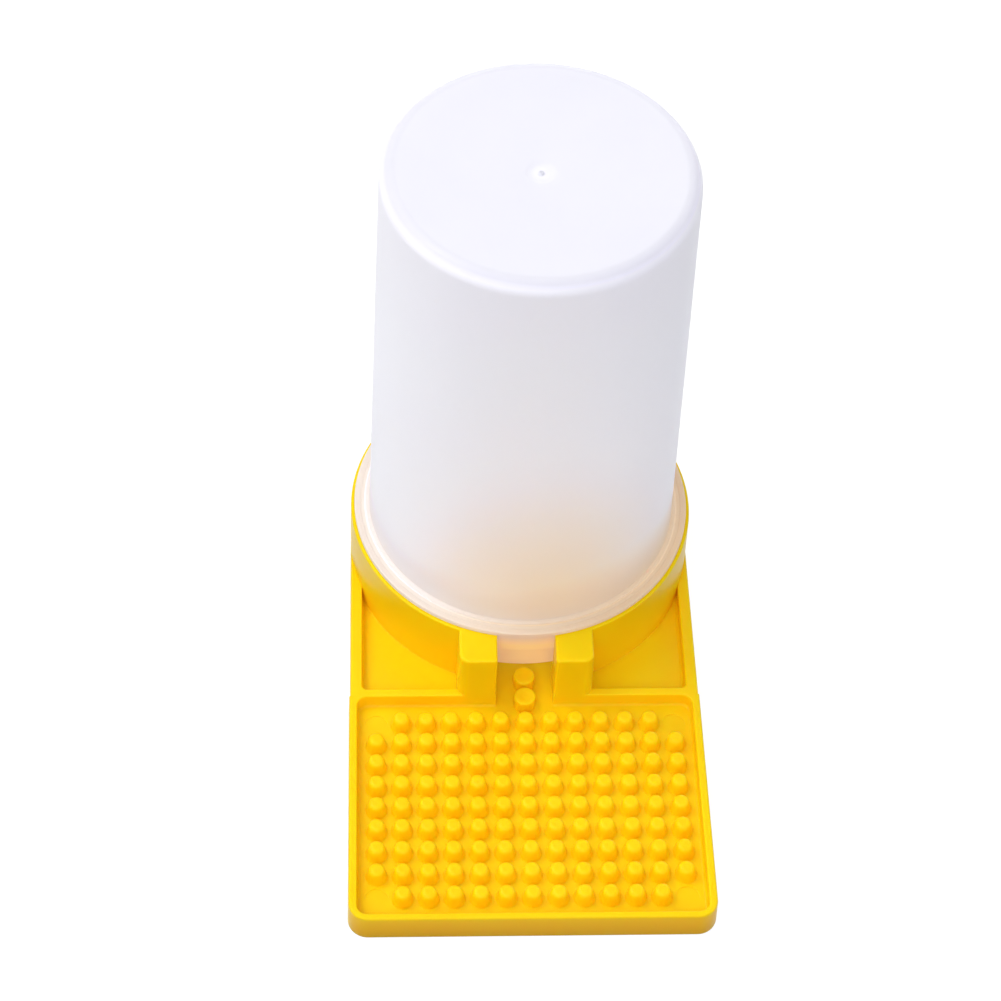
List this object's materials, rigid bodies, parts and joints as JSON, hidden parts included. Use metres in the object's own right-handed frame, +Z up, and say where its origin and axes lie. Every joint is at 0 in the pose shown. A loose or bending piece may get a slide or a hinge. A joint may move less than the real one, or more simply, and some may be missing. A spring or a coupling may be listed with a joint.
{
  "type": "hive entrance feeder",
  "caption": "Bee feeder: a knobbed drinking tray joined by a short channel to a round cup, with a syrup bottle that stands upside down in the cup and lifts out to be filled.",
  "frame": {"origin": "middle of the feeder's length and width, on the surface that it stands on", "axes": "+Z up along the bottle, +Y from the drinking tray to the bottle, +X to the right seen from the tray"},
  "size_m": [0.0854, 0.1528, 0.1379],
  "materials": {
    "yellow_plastic": "glossy moulded plastic",
    "milky_plastic": "satin milky translucent plastic"
  },
  "bodies": {
    "base": {"feeder_base": "yellow_plastic"},
    "bottle": {"syrup_bottle": "milky_plastic"}
  },
  "joints": [
    {"name": "bottle_lift", "type": "slide", "parent": "base", "child": "bottle", "axis": [0, 0, 1], "range_m": [0, 0.04]}
  ]
}
